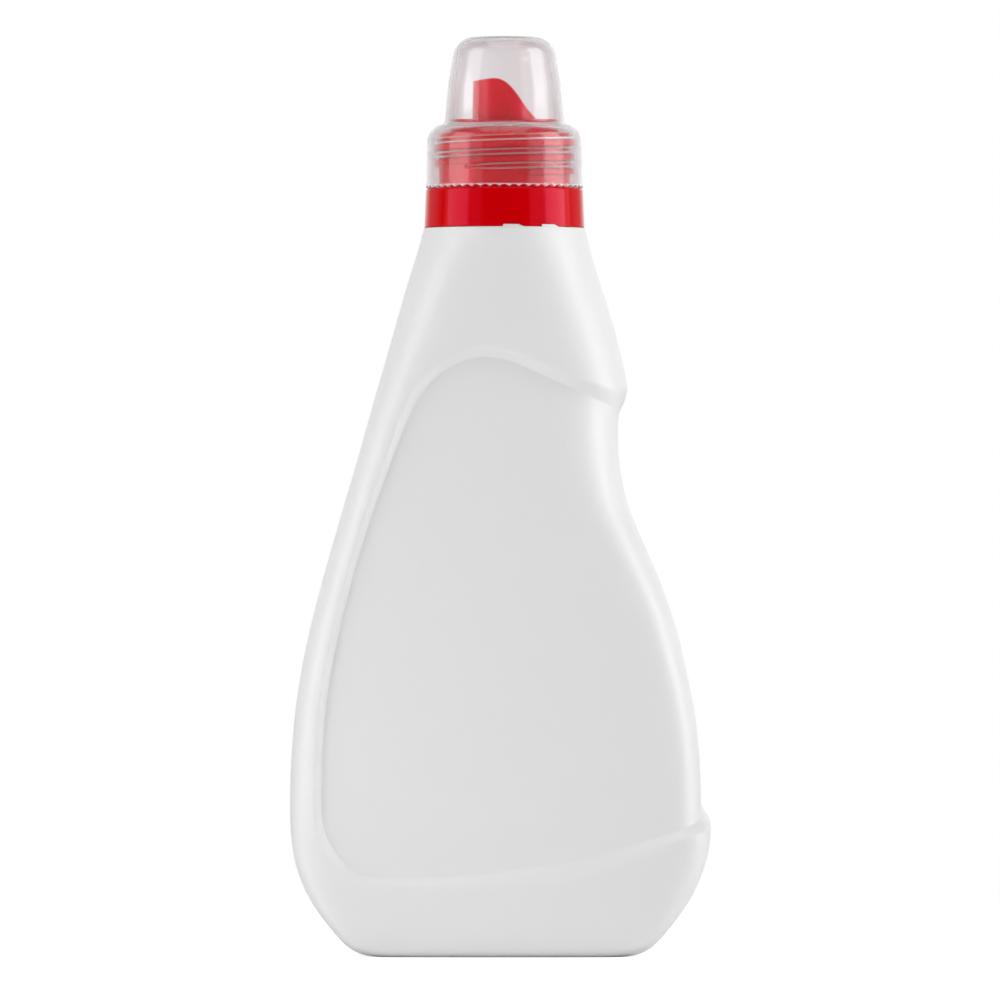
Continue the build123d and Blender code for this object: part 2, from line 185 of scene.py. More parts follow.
# Edge of the sunk panel in the front view, from the brow over the grip, along the top, down the left side
# and along the foot to the grip: x and z where its slope ends on the panel, then x and z where it starts on
# the skin
PANEL_EDGE = [
    (28.3, 162.7, 30.5, 167.7),
    (21.3, 166.1, 22.9, 169.7),
    (13.7, 169.3, 15.4, 172.8),
    (5.8, 172.9, 7.3, 176.1),
    (-3.8, 175.1, -3.7, 178.6),
    (-14.6, 172.1, -16.1, 175.3),
    (-21.3, 166.5, -23.9, 168.4),
    (-30.05, 149.0, -32.4, 149.9),
    (-37.0, 129.8, -39.3, 130.5),
    (-45.7, 99.5, -48.0, 100.0),
    (-50.4, 75.1, -52.8, 75.3),
    (-51.9, 49.1, -54.4, 48.9),
    (-51.2, 38.4, -53.8, 37.3),
    (-47.5, 30.5, -49.6, 28.3),
    (-40.8, 25.0, -41.9, 22.4),
    (-32.1, 24.0, -32.6, 20.8),
    (-11.7, 24.4, -11.9, 20.0),
    (3.8, 26.2, 4.4, 21.2),
    (16.6, 28.0, 17.7, 22.8),
    (32.9, 32.0, 34.8, 26.8),
    (49.5, 36.6, 51.4, 33.5),
]
BROW_SIDE = (158.6, 168.6)     # heights of the two edges on the grip side, over the grip
STEP_SIDE = (44.6, 38.0)       # and under it
OUTER_ROUND = 0.4              # shares of the slope's width that its outer and inner edge are rounded over
INNER_ROUND = 0.12
SLOPE_LINES = [0.0, 0.1, 0.2, 0.3, 0.4, 0.64, 0.88, 0.94, 1.0]     # where lines of the mesh run along it
SEAM_HEIGHT = 0.1              # fine parting line of the blow mould, along both sides
SEAM_HALF = 0.4
SEAM_LENGTH = 74.0             # pinched line across the foot
SEAM_PROUD = 0.35
SEAM_THICKNESS = 1.0
SEAM_ROUND = 0.25

# Mesh of the bottle, whose front half is unrolled: along a half section, and up the side's profile
HALF_LOOP = 172.0              # nominal length of a half section
GRID = 2.0                     # spacing of the points
LINE_SPACING = 1.15            # spacing along the slope's lines
ROW_SHARE = 0.87               # spacing of the grid's rows, as a share of GRID
GRID_COLUMNS = 86
END_POINTS = 88                # spaces along the first and the last section
SIDE_ROOM = 0.6                # shares of GRID kept free beside the side lines and the slope
SLOPE_ROOM = 0.62
PANEL_OVERHANG = 9             # how far the panel's outline is drawn on past the side line
PROFILE_POINTS = 4001
LINE_POINTS = 801
TURN_POINTS = 201              # points that a quarter of a section is measured with
FLAT_SHARE = 0.8               # share of a section's half width that counts as its face
LEVEL_SHARE = 0.6              # any share on the grip side, to read how long that side of a section is
SUNK_OVERRUN = 4               # how far the sunk form is carried on over its last section
LEVEL_SLACK = 0.02             # how far off a height the edges of an open loop may lie
NEAR = 1e-4                    # less than this counts as the same place
WELD = 1e-6                    # and this, in metres, as the same point of a mesh

# Steps of the turned pieces, and the angles in degrees up to which faces are shaded as one
SHELL_STEPS = 240
SCOOP_STEPS = 160
FLOOR_STEPS = 120
LUG_STEPS = 16
SCOOP_ROWS = 26
ARC_STEP = 11.0                # turn of a rounded corner that one face takes
BLOWN_SHADING = 50.0
MOULDED_SHADING = 38.0


def only(piece):
    """Select one piece and make it the active one."""
    bpy.ops.object.select_all(action="DESELECT")
    piece.select_set(True)
    bpy.context.view_layer.objects.active = piece


def finish_modifier(piece, kind, **settings):
    """Add a modifier with its settings and apply it."""
    only(piece)
    modifier = piece.modifiers.new(kind.title(), kind)
    for name, value in settings.items():
        setattr(modifier, name, value)
    bpy.ops.object.modifier_apply(modifier=modifier.name)


def smooth_shading(piece, angle):
    """Shade faces as one where they meet at less than an angle in degrees."""
    only(piece)
    bpy.ops.object.shade_smooth_by_angle(angle=math.radians(angle))


def pick_edges(piece, test):
    """In edit mode, select the edges that a test passes, by the places of their ends in millimetres."""
    bm = bmesh.from_edit_mesh(piece.data)
    bpy.ops.mesh.select_mode(type="EDGE")
    bpy.ops.mesh.select_all(action="DESELECT")
    for edge in bm.edges:
        if test([corner.co / MM for corner in edge.verts], edge):
            edge.select_set(True)
    bm.select_flush_mode()
    bmesh.update_edit_mesh(piece.data)


def smooth_curve(places, values):
    """Natural cubic curve through rows of values at rising places, as a function of an array of places."""
    places, values = np.asarray(places, float), np.asarray(values, float)
    steps, count = np.diff(places), len(places)
    left, right = np.zeros((count, count)), np.zeros((count, values.shape[1]))
    left[0, 0] = left[-1, -1] = 1
    for k in range(1, count - 1):
        left[k, k - 1:k + 2] = steps[k - 1], 2 * (steps[k - 1] + steps[k]), steps[k]
        right[k] = 6 * ((values[k + 1] - values[k]) / steps[k] - (values[k] - values[k - 1]) / steps[k - 1])
    bend = np.linalg.solve(left, right)

    def at(x):
        k = np.clip(np.searchsorted(places, x) - 1, 0, count - 2)
        step, t = steps[k][:, None], (x - places[k])[:, None]
        start = (values[k] / step - bend[k] * step / 6) * (step - t)
        end = (values[k + 1] / step - bend[k + 1] * step / 6) * t
        return (bend[k] * (step - t) ** 3 + bend[k + 1] * t ** 3) / (6 * step) + start + end

    return at


def row_sizes(row, side_drop, drop):
    """Height, left, right, half depth, then the reach of both rounded ends and the powers of their depth."""
    left = AXIS - SHOULDER + (SHOULDER - AXIS - HALF_WIDTH) * row[1] + side_drop
    right = AXIS + SHOULDER + (HALF_WIDTH - AXIS - SHOULDER) * row[2]
    depth = SHOULDER + (HALF_DEPTH - SHOULDER) * row[3] - drop
    ends = [SHOULDER + (SIDE_ROUND - SHOULDER) * share for share in row[4:]]
    powers = [1 - SIDE_FULLNESS * share for share in row[4:]]
    return [row[0] * LEDGE, left, right, depth] + ends + powers


skin_rows = np.array([row_sizes(row, 0, 0) for row in SKIN_SHARES])
sunk_rows = np.array([row_sizes(row, PANEL_SIDE_DEPTH, PANEL_DEPTH) for row in SUNK_SHARES])
profile = np.stack([(skin_rows[:, 2] - skin_rows[:, 1]) / 2, skin_rows[:, 0]], 1)
profile_length = np.concatenate([[0], np.cumsum(np.linalg.norm(np.diff(profile, axis=0), axis=1))])
skin_at = smooth_curve(profile_length, skin_rows)           # by length along the side's profile
sunk_at = smooth_curve(sunk_rows[:, 0], sunk_rows[:, 1:])   # by height
rise = np.linspace(0, profile_length[-1], PROFILE_POINTS)
rise_height = skin_at(rise)[:, 0]


def half_section(share, sizes):
    """x and y at shares of the way round the front half of a section, from its left side to its right."""
    left, right, depth, left_end, right_end, left_power, right_power = sizes.T
    middle, width = (left + right) / 2, (right - left) / 2
    on_right = share > 0.5
    end = np.minimum(np.where(on_right, right_end, left_end), width)
    power = np.where(on_right, right_power, left_power)
    quarter = np.where(on_right, 2 - 2 * share, 2 * share)
    turns = np.linspace(0, 1, TURN_POINTS) ** 1.5 * math.pi / 2        # closer together at the side
    fine_x = width[:, None] * np.cos(turns) ** (end / width)[:, None]
    fine_x[:, -1] = 0
    fine_y = depth[:, None] * np.sin(turns) ** power[:, None]
    lengths = np.zeros_like(fine_x)
    lengths[:, 1:] = np.cumsum(np.hypot(np.diff(fine_x), np.diff(fine_y)), axis=1)
    target = np.clip(quarter, 0, 1) * lengths[:, -1]
    k = np.clip((lengths < target[:, None]).sum(1), 1, len(turns) - 1)
    row = np.arange(len(share))
    part = (target - lengths[row, k - 1]) / (lengths[row, k] - lengths[row, k - 1])
    x = fine_x[row, k - 1] + (fine_x[row, k] - fine_x[row, k - 1]) * part
    y = fine_y[row, k - 1] + (fine_y[row, k] - fine_y[row, k - 1]) * part
    sharpness = 2 * width / end
    flat = x < FLAT_SHARE * width
    y = np.where(flat, depth * (1 - np.clip(x / width, 0, 1) ** sharpness) ** (power / 2), y)
    x = np.where(flat, x, width * np.clip(1 - (y / depth) ** (2 / power), 0, 1) ** (1 / sharpness))
    y *= 1 - FRONT_BOW * (1 - np.minimum(1, right_end / width)) * (x / width) ** 2
    return middle + np.where(on_right, x, -x), -y, lengths[:, -1]


def left_face(x, sizes):
    """y of a section's face at places of its left half."""
    left, right, depth, left_end, right_end, left_power, right_power = sizes.T
    middle, width = (left + right) / 2, (right - left) / 2
    across = np.clip(np.abs(x - middle) / width, 0, 1)
    bow = FRONT_BOW * (1 - np.minimum(1, right_end / width)) * across ** 2
    reach = np.minimum(left_end, width)
    return -depth * (1 - across ** (2 * width / reach)) ** (left_power / 2) * (1 - bow)


def bottle_surface(share, length, sunk):
    """Points of the bottle by share of the half section, length up the profile, and how far they are sunk.

    The sunk form lies straight behind the skin on the left half and at the skin's shares on the grip side.
    """
    sizes = skin_at(length)
    low = sunk_at(np.clip(sizes[:, 0], sunk_rows[0, 0], sunk_rows[-1, 0] + SUNK_OVERRUN))
    skin_x, skin_y, _ = half_section(share, sizes[:, 1:])
    quarter = half_section(np.full_like(share, LEVEL_SHARE), low)[2]
    shift = (sizes[:, 1] + sizes[:, 2] - low[:, 0] - low[:, 1]) / 4 / quarter
    turn = np.clip(2 * share - 1, 0, 1)
    fade = 1 - turn * turn * (3 - 2 * turn)
    sunk_x, sunk_y, _ = half_section(np.clip(share + shift * fade, 0.5001, 1), low)
    on_left = share <= 0.5
    sunk_x = np.where(on_left, skin_x, sunk_x)
    sunk_y = np.where(on_left, left_face(skin_x, low), sunk_y)
    return np.stack([skin_x + (sunk_x - skin_x) * sunk, skin_y + (sunk_y - skin_y) * sunk, sizes[:, 0]], 1)


def length_at(height):
    """Length along the profile at a height."""
    return float(np.interp(height, rise_height, rise))


def panel_lines():
    """The two edges of the panel's slope, on the panel and on the skin, as points of the unrolled half."""
    shares = np.linspace(0, 1, LINE_POINTS)
    lines = []
    for side, sunk in ((0, 1.0), (1, 0.0)):
        flat = [(HALF_LOOP, length_at(BROW_SIDE[side]))]
        for pair in PANEL_EDGE:
            length = length_at(pair[2 * side + 1])
            line = bottle_surface(shares, np.full_like(shares, length), np.full_like(shares, sunk))
            flat.append((float(np.interp(pair[2 * side], line[:, 0], shares)) * HALF_LOOP, length))
        flat.append((HALF_LOOP, length_at(STEP_SIDE[side])))
        lines.append(np.array(flat))
    return lines


def even_lines(lines, spacing):
    """Smooth curves through both edges, level where they cross the side, with points in even pairs."""
    mirrored = []
    for line in lines:
        over = line[[2, 1]] * [-1, 1] + [2 * HALF_LOOP, 0]
        under = line[[-2, -3]] * [-1, 1] + [2 * HALF_LOOP, 0]
        mirrored.append(np.concatenate([over, line, under]))
    middle = (mirrored[0] + mirrored[1]) / 2
    pace = np.concatenate([[0], np.cumsum(np.linalg.norm(np.diff(middle, axis=0), axis=1))])
    places = np.linspace(pace[2], pace[-3], int((pace[-3] - pace[2]) / spacing) + 1)
    out = [smooth_curve(pace, line)(places) for line in mirrored]
    for line in out:
        line[0, 0] = line[-1, 0] = HALF_LOOP
    return out


def inside(points, loop):
    """Which points lie inside a closed loop."""
    x, y = points[:, 0], points[:, 1]
    hit = np.zeros(len(points), bool)
    for (ax, ay), (bx, by) in zip(loop, np.roll(loop, -1, 0)):
        if ay != by:
            hit ^= ((ay > y) != (by > y)) & (x < (bx - ax) * (y - ay) / (by - ay) + ax)
    return hit


def slope_share(t):
    """How far the surface is sunk at a share of the slope's width, with both edges rounded."""
    steep = 1 / (1 - OUTER_ROUND / 2 - INNER_ROUND / 2)
    outer = steep * t * t / (2 * OUTER_ROUND)
    inner = 1 - steep * (1 - t) ** 2 / (2 * INNER_ROUND)
    middle = steep * (t - OUTER_ROUND / 2)
    return np.where(t < OUTER_ROUND, outer, np.where(t > 1 - INNER_ROUND, inner, middle))


def bottle_front():
    """Mesh of the bottle's front half, with its triangles lined up along the panel's slope."""
    top = profile_length[-1]
    inner, outer = even_lines(panel_lines(), LINE_SPACING)
    points, sunk, edges = [], [], []

    def add_line(line, depth):
        first = len(points)
        points.extend(map(tuple, line))
        sunk.extend([depth] * len(line))
        edges.extend((first + k, first + k + 1) for k in range(len(line) - 1))

    band = [outer + (inner - outer) * t for t in SLOPE_LINES]
    for t, line in zip(SLOPE_LINES, band):
        add_line(line, float(slope_share(np.array(t))))

    # Side lines, with the ends of the slope's lines among their points
    ends_high = sorted(float(line[0, 1]) for line in band)
    ends_low = sorted(float(line[-1, 1]) for line in band)
    stops = [0.0] + ends_low + ends_high + [top]
    side = []
    for low, high in zip(stops, stops[1:]):
        count = max(1, round((high - low) / GRID))
        side += list(np.linspace(low, high, count + 1)[:-1])
    side = np.array(side + [top])
    plain = np.linspace(0, top, round(top / GRID) + 1)
    low_in, high_in = float(inner[-1, 1]), float(inner[0, 1])
    low_out, high_out = float(outer[-1, 1]), float(outer[0, 1])

    def side_depth(w):
        t = np.ones_like(w)
        t = np.where(w > high_in, (high_out - w) / (high_out - high_in), t)
        t = np.where(w < low_in, (w - low_out) / (low_in - low_out), t)
        return slope_share(np.clip(t, 0, 1))

    known = set(np.round(ends_high + ends_low, 5))
    right_free = np.array([w for w in side if round(float(w), 5) not in known])
    columns = [(0.0, plain), (SEAM_HALF, plain), (HALF_LOOP, right_free),
               (HALF_LOOP - SEAM_HALF, right_free)]
    for column, heights in columns:
        depths = side_depth(heights) if column > HALF_LOOP / 2 else np.zeros_like(heights)
        points.extend((column, float(w)) for w in heights)
        sunk.extend(map(float, depths))
    for w in (0.0, top):
        for s in np.linspace(0, HALF_LOOP, END_POINTS + 1)[1:-1]:
            points.append((float(s), w))
            sunk.append(0.0)

    # Grid in offset rows over the rest
    grid = []
    rows = int(top / (GRID * ROW_SHARE))
    for j in range(1, rows):
        w = top * j / rows
        shift = 0.5 * (j % 2)
        grid += [((k + shift) * HALF_LOOP / GRID_COLUMNS, w) for k in range(GRID_COLUMNS + 1)]
    grid = np.array(grid)
    keep = (grid[:, 0] > SIDE_ROOM * GRID) & (grid[:, 0] < HALF_LOOP - SIDE_ROOM * GRID)
    near = np.concatenate([band[0], band[-1]])
    for line in np.array_split(near, 40):       # in parts, to spare memory
        gap = np.linalg.norm(grid[:, None] - line[None], axis=2).min(1)
        keep &= gap > SLOPE_ROOM * GRID
    past = HALF_LOOP + PANEL_OVERHANG
    within = inside(grid, np.concatenate([inner, [[past, low_in], [past, high_in]]]))
    around = inside(grid, np.concatenate([outer, [[past, low_out], [past, high_out]]]))
    keep &= within | ~around
    points.extend(map(tuple, grid[keep]))
    sunk.extend(within[keep].astype(float))

    spots = [Vector(point) for point in points]
    flat, _, faces, origins, _, _ = geometry.delaunay_2d_cdt(spots, edges, [], 0, WELD)
    place = np.array([tuple(v) for v in flat])
    depth = np.array([sunk[ids[0]] if ids else 0.5 for ids in origins])
    surface = bottle_surface(place[:, 0] / HALF_LOOP, place[:, 1], depth)
    for column, side_sign in ((0.0, -1), (HALF_LOOP, 1)):
        on = np.abs(place[:, 0] - column) < NEAR
        surface[on, 0] += side_sign * SEAM_HEIGHT
        surface[on, 1] = 0
    mesh = bpy.data.meshes.new("bottle")
    mesh.from_pydata((surface * MM).tolist(), [], [tuple(face) for face in faces])
    mesh.update()
    piece = bpy.data.objects.new("bottle_body", mesh)
    bpy.context.collection.objects.link(piece)
    return piece


def loop_on(height):
    """Test for the open edges that lie at one height."""
    return lambda corners, edge: edge.is_boundary and all(abs(c.z - height) < LEVEL_SLACK for c in corners)


def next_loop(up, stretch=(1.0, 1.0), centre=0.0):
    """Extrude the selected loop, then raise it and draw it in or out."""
    bpy.ops.mesh.extrude_edges_move(TRANSFORM_OT_translate={"value": (0, 0, up * MM)})
    bpy.ops.transform.resize(value=(stretch[0], stretch[1], 1), center_override=(centre * MM, 0, 0))


def make_bottle():
    """Blown bottle: mirrored front, foot with its dish, ledge, neck and wall."""
    piece = bottle_front()
    finish_modifier(piece, "MIRROR", use_axis=(False, True, False), merge_threshold=WELD)
    only(piece)
    bpy.ops.object.mode_set(mode="EDIT")
    foot = skin_rows[0]
    half, deep, centre = (foot[2] - foot[1]) / 2, foot[3], (foot[1] + foot[2]) / 2
    pick_edges(piece, loop_on(0))
    for inward, up in FOOT_STEPS:
        next_loop(up, ((half - inward) / half, (deep - inward) / deep), centre)
        half, deep = half - inward, deep - inward
    bpy.ops.mesh.edge_face_add()
    bpy.ops.mesh.poke()
    pick_edges(piece, loop_on(LEDGE))
    next_loop(0, ((SHOULDER - LEDGE_EDGE) / SHOULDER,) * 2, AXIS)
    next_loop(0, (NECK / (SHOULDER - LEDGE_EDGE),) * 2, AXIS)
    for _ in range(NECK_RINGS):
        next_loop((NECK_HEIGHT - MOUTH_EDGE) / NECK_RINGS)
    next_loop(MOUTH_EDGE, ((NECK - MOUTH_DRAW) / NECK,) * 2, AXIS)
    bpy.ops.mesh.select_all(action="SELECT")
    bpy.ops.mesh.remove_doubles(threshold=WELD)
    bpy.ops.mesh.normals_make_consistent(inside=False)
    bpy.ops.object.mode_set(mode="OBJECT")
    finish_modifier(piece, "SOLIDIFY", thickness=WALL * MM, offset=-1)
    add_details(piece, [base_seam()] + [ledge_lug(turn) for turn in LUG_TURNS])
    smooth_shading(piece, BLOWN_SHADING)
    return piece


def rounded(corners):
    """Outline with arcs at its corners, from (x, y, radius) corners in order round it."""
    out = []
    count = len(corners)
    for k, (x, y, radius) in enumerate(corners):
        if radius == 0:
            out.append((x, y))
            continue
        here = Vector((x, y))
        back = (Vector(corners[k - 1][:2]) - here).normalized()
        ahead = (Vector(corners[(k + 1) % count][:2]) - here).normalized()
        half = back.angle(ahead) / 2
        centre = here + (back + ahead).normalized() * (radius / math.sin(half))
        first = here + back * (radius / math.tan(half)) - centre
        last = here + ahead * (radius / math.tan(half)) - centre
        sweep = first.angle_signed(last)
        steps = max(2, round(abs(sweep) / math.radians(ARC_STEP)))
        for j in range(steps + 1):
            turn = -sweep * j / steps
            spoke = Vector((first.x * math.cos(turn) - first.y * math.sin(turn),
                            first.x * math.sin(turn) + first.y * math.cos(turn)))
            out.append(tuple(centre + spoke))
    return out


def loop_piece(name, outline):
    """Closed loop standing in the plane of the front view: a circle whose corners are set to an outline."""
    bpy.ops.object.select_all(action="DESELECT")
    bpy.ops.mesh.primitive_circle_add(vertices=len(outline), radius=MM)
    piece = bpy.context.object
    piece.name = name
    for corner, (x, z) in zip(piece.data.vertices, outline):
        corner.co = (x * MM, 0, z * MM)
    return piece


def close_skin(piece):
    """Merge what coincides and turn every face outwards."""
    only(piece)
    bpy.ops.object.mode_set(mode="EDIT")
    bpy.ops.mesh.select_all(action="SELECT")
    bpy.ops.mesh.remove_doubles(threshold=WELD)
    bpy.ops.mesh.delete_loose()
    bpy.ops.mesh.select_all(action="SELECT")
    bpy.ops.mesh.normals_make_consistent(inside=False)
    bpy.ops.object.mode_set(mode="OBJECT")


def turned(name, outline, steps, start=0.0, angle=360.0):
    """Spin an outline of (radius, height) round the upright axis, in degrees from the front to the grip."""
    piece = loop_piece(name, outline)
    only(piece)
    bpy.ops.object.mode_set(mode="EDIT")
    bpy.ops.mesh.select_all(action="SELECT")
    if angle < 360:
        bpy.ops.mesh.edge_face_add()
    bpy.ops.transform.rotate(value=math.radians(90 - start), orient_axis="Z", center_override=(0, 0, 0))
    bpy.ops.mesh.spin(steps=steps, angle=-math.radians(angle), center=(0, 0, 0), axis=(0, 0, 1))
    bpy.ops.object.mode_set(mode="OBJECT")
    close_skin(piece)
    return piece


def ridge(name, section, wall, thread):
    """Thread ridge: a section swept up a right-hand screw line, sinking into its wall at both ends."""
    piece = loop_piece(name, [(wall + x, z) for x, z in section])
    turns = thread["turns"]
    steps = round(turns * RIDGE_STEPS)
    finish_modifier(piece, "SCREW", axis="Z", angle=turns * TURN, screw_offset=turns * PITCH * MM,
                    iterations=1, steps=steps, render_steps=steps, use_smooth_shade=False)
    depth = max(abs(x) for x, z in section) + RUN_OUT_DEPTH
    first = math.radians(thread["turn"] - 90)
    corners = len(section)
    for k, corner in enumerate(piece.data.vertices):
        step = k // corners
        turn = turns * TURN * step / steps
        sink = max(0.0, 1 - min(turn, turns * TURN - turn) / math.radians(RUN_OUT)) ** 2
        radius = wall + section[k % corners][0] - math.copysign(depth * sink, section[2][0])
        height = section[k % corners][1] * (1 - 0.5 * sink) + thread["height"] + PITCH * turn / TURN
        corner.co = Vector((radius * math.cos(first + turn), radius * math.sin(first + turn), height)) * MM
    only(piece)
    bpy.ops.object.mode_set(mode="EDIT")
    pick_edges(piece, lambda corners, edge: edge.is_boundary)
    bpy.ops.mesh.fill_holes(sides=0)
    bpy.ops.object.mode_set(mode="OBJECT")
    close_skin(piece)
    return piece


def joined(piece, other, way="UNION"):
    """Join another solid to a piece, or cut it away, and drop the other."""
    finish_modifier(piece, "BOOLEAN", operation=way, object=other, solver="EXACT")
    bpy.data.objects.remove(other, do_unlink=True)


def stand_on_ledge(piece, height=0.0):
    """Move a finished piece from the axis of its making to the neck."""
    only(piece)
    bpy.ops.object.mode_set(mode="EDIT")
    bpy.ops.mesh.select_all(action="SELECT")
    bpy.ops.transform.translate(value=(AXIS * MM, 0, (LEDGE + height) * MM))
    bpy.ops.object.mode_set(mode="OBJECT")


def lug_body(name, turn, clearance, inner, outer, foot):
    """Ratchet tooth, steep on one side and with a run-up on the other, or the body that cuts its notch."""
    spread = math.degrees(clearance / SHOULDER)
    top = LUG_HEIGHT + clearance
    whole = LUG_TOP_TURN + LUG_RAMP_TURN + 2 * spread
    section = [(inner, foot), (outer, foot), (outer, top), (inner, top)]
    piece = turned(name, section, LUG_STEPS, turn - spread, whole)
    for corner in piece.data.vertices:
        if corner.co.z > 0:
            angle = math.degrees(math.atan2(corner.co.x, -corner.co.y)) % 360
            past = (angle - turn) % 360
            past = 0 if past > 180 else max(0.0, past - LUG_TOP_TURN - spread)
            corner.co.z -= (top + LUG_SINK) * MM * min(1.0, past / LUG_RAMP_TURN)
    return piece


def lip_height(x):
    """Height of the scoop's lip over the ledge at a place across it."""
    shares = np.array(LIP_SHARES)
    curve = smooth_curve(shares[:, 0], shares[:, 1:])
    share = float(curve(np.array([min(1.0, max(-1.0, x / SPOUT_TIP))]))[0, 0])
    return RING_TOP + (TIP_HEIGHT - RING_TOP) * share


def make_scoop():
    """Pouring scoop: a tube whose upper edge is drawn down to the curve of the lip."""
    outside = [(SPOUT_FOOT + (SPOUT_TIP - SPOUT_FOOT) * k / SCOOP_ROWS,
                PLUG_FOOT + (TIP_HEIGHT - PLUG_FOOT) * k / SCOOP_ROWS) for k in range(SCOOP_ROWS + 1)]
    inside = [(x - SPOUT_WALL, z) for x, z in reversed(outside)]
    rim = [(SPOUT_TIP - step, TIP_HEIGHT + up) for step, up in LIP_EDGE]
    rim += [(SPOUT_TIP - SPOUT_WALL + step, TIP_HEIGHT + up) for step, up in reversed(LIP_EDGE)]
    scoop = turned("scoop", outside + rim + inside, SCOOP_STEPS)
    for corner in scoop.data.vertices:
        height = corner.co.z / MM
        if height > RING_TOP:
            radius = math.hypot(corner.co.x, corner.co.y) / MM
            lip = lip_height(corner.co.x / MM / radius * SPOUT_TIP)
            over = max(0.0, height - TIP_HEIGHT)
            share = (min(height, TIP_HEIGHT) - RING_TOP) / (TIP_HEIGHT - RING_TOP)
            corner.co.z = (RING_TOP + (lip - RING_TOP) * share + over) * MM
    return scoop


def trough_floor(middle):
    """Ring-shaped floor of the trough, which falls towards the grip."""
    low, high = middle - TROUGH_FLOOR / 2, middle + TROUGH_FLOOR / 2
    near, far = SPOUT_TIP - SPOUT_WALL / 2, PLUG - RING_WALL / 2
    floor = turned("trough_floor", [(near, low), (far, low), (far, high), (near, high)], FLOOR_STEPS)
    for corner in floor.data.vertices:
        corner.co.z -= corner.co.x * math.tan(math.radians(TROUGH_TILT))
    return floor


def drain_slot(foot):
    """Body that cuts the drain slot on the grip side, rounded at its foot."""
    bpy.ops.object.select_all(action="DESELECT")
    bpy.ops.mesh.primitive_cube_add(size=1)
    slot = bpy.context.object
    bpy.ops.object.mode_set(mode="EDIT")
    bpy.ops.transform.resize(value=(SPOUT_FOOT * MM, SLOT_WIDTH * MM, TIP_HEIGHT * MM))
    bpy.ops.transform.translate(value=(SPOUT_FOOT * SLOT_MIDDLE_SHARE * MM, 0, (foot + TIP_HEIGHT / 2) * MM))
    pick_edges(slot, lambda corners, edge: all(c.z < foot + 1 for c in corners)
               and abs(corners[0].x - corners[1].x) > 1)
    bpy.ops.mesh.bevel(offset=SLOT_ROUND * MM, segments=6)
    bpy.ops.object.mode_set(mode="OBJECT")
    return slot


def make_pour_spout():
    """Injection-moulded fitment: turned shell, thread, trough floor, scoop, drain slot, collar notches."""
    piece = turned("pour_spout_body", rounded([
        (SHOULDER - COLLAR_WALL, COLLAR_GAP, 0.12),
        (SHOULDER, COLLAR_GAP, 0.2),
        (COLLAR_TOP, COLLAR_HEIGHT, COLLAR_ROUND),
        (THREAD_ROOT, COLLAR_HEIGHT, 0.3),
        (THREAD_ROOT, FLANGE_TOP - FLANGE_BEVEL, 0.3),
        (THREAD_ROOT - FLANGE_BEVEL, FLANGE_TOP, 0.3),
        (PLUG, FLANGE_TOP, 0.4),
        (PLUG, RING_TOP, 0.45),
        (PLUG - RING_WALL, RING_TOP, 0.45),
        (PLUG - RING_WALL, PLUG_FOOT, 0.15),
        (PLUG, PLUG_FOOT, 0.3),
        (PLUG, NECK_HEIGHT, 0.1),
        (THREAD_ROOT - THREAD_WALL, NECK_HEIGHT, 0.1),
        (THREAD_ROOT - THREAD_WALL, THREAD_FOOT, 0.1),
        (THREAD_ROOT, THREAD_FOOT, 0.1),
        (THREAD_ROOT, COLLAR_HEIGHT - COLLAR_WALL, 0.2),
        (COLLAR_TOP - COLLAR_WALL, COLLAR_HEIGHT - COLLAR_WALL, 0.2),
    ]), SHELL_STEPS)
    tilt = math.tan(math.radians(TROUGH_TILT))
    middle = PLUG_FOOT + TROUGH_FLOOR + (PLUG - RING_WALL / 2) * tilt
    joined(piece, ridge("spout_ridge", SPOUT_RIDGE, THREAD_ROOT, SPOUT_THREAD))
    joined(piece, trough_floor(middle))
    joined(piece, make_scoop())
    joined(piece, drain_slot(middle + TROUGH_FLOOR / 2 - SPOUT_FOOT * tilt), "DIFFERENCE")
    near, far = SHOULDER - COLLAR_WALL - NOTCH_OVERRUN_INSIDE, SHOULDER + NOTCH_OVERRUN
    for turn in LUG_TURNS:
        joined(piece, lug_body("notch", turn, LUG_CLEARANCE, near, far, -NOTCH_OVERRUN), "DIFFERENCE")
    stand_on_ledge(piece)
    smooth_shading(piece, MOULDED_SHADING)
    return piece


def cap_outline(inset):
    """Corners of the cap's outside, or of its inside at the wall's depth, from the rim up to the axis."""
    (rim, _, _), (skirt, low, r1), (foot, up, r2), (bend, mid, r3), (top, high, r4) = CAP_CORNERS
    slope = (up - low) / (skirt - foot)
    drop = inset * (math.hypot(1, slope) - slope)
    return [(rim - inset, 0, 0), (skirt - inset, low - drop, r1 - inset),
            (foot - inset, up - drop, r2 + inset), (bend - inset, mid, r3),
            (top - inset, high - inset, r4 - inset), (0, CAP_TOP - inset, 0)]


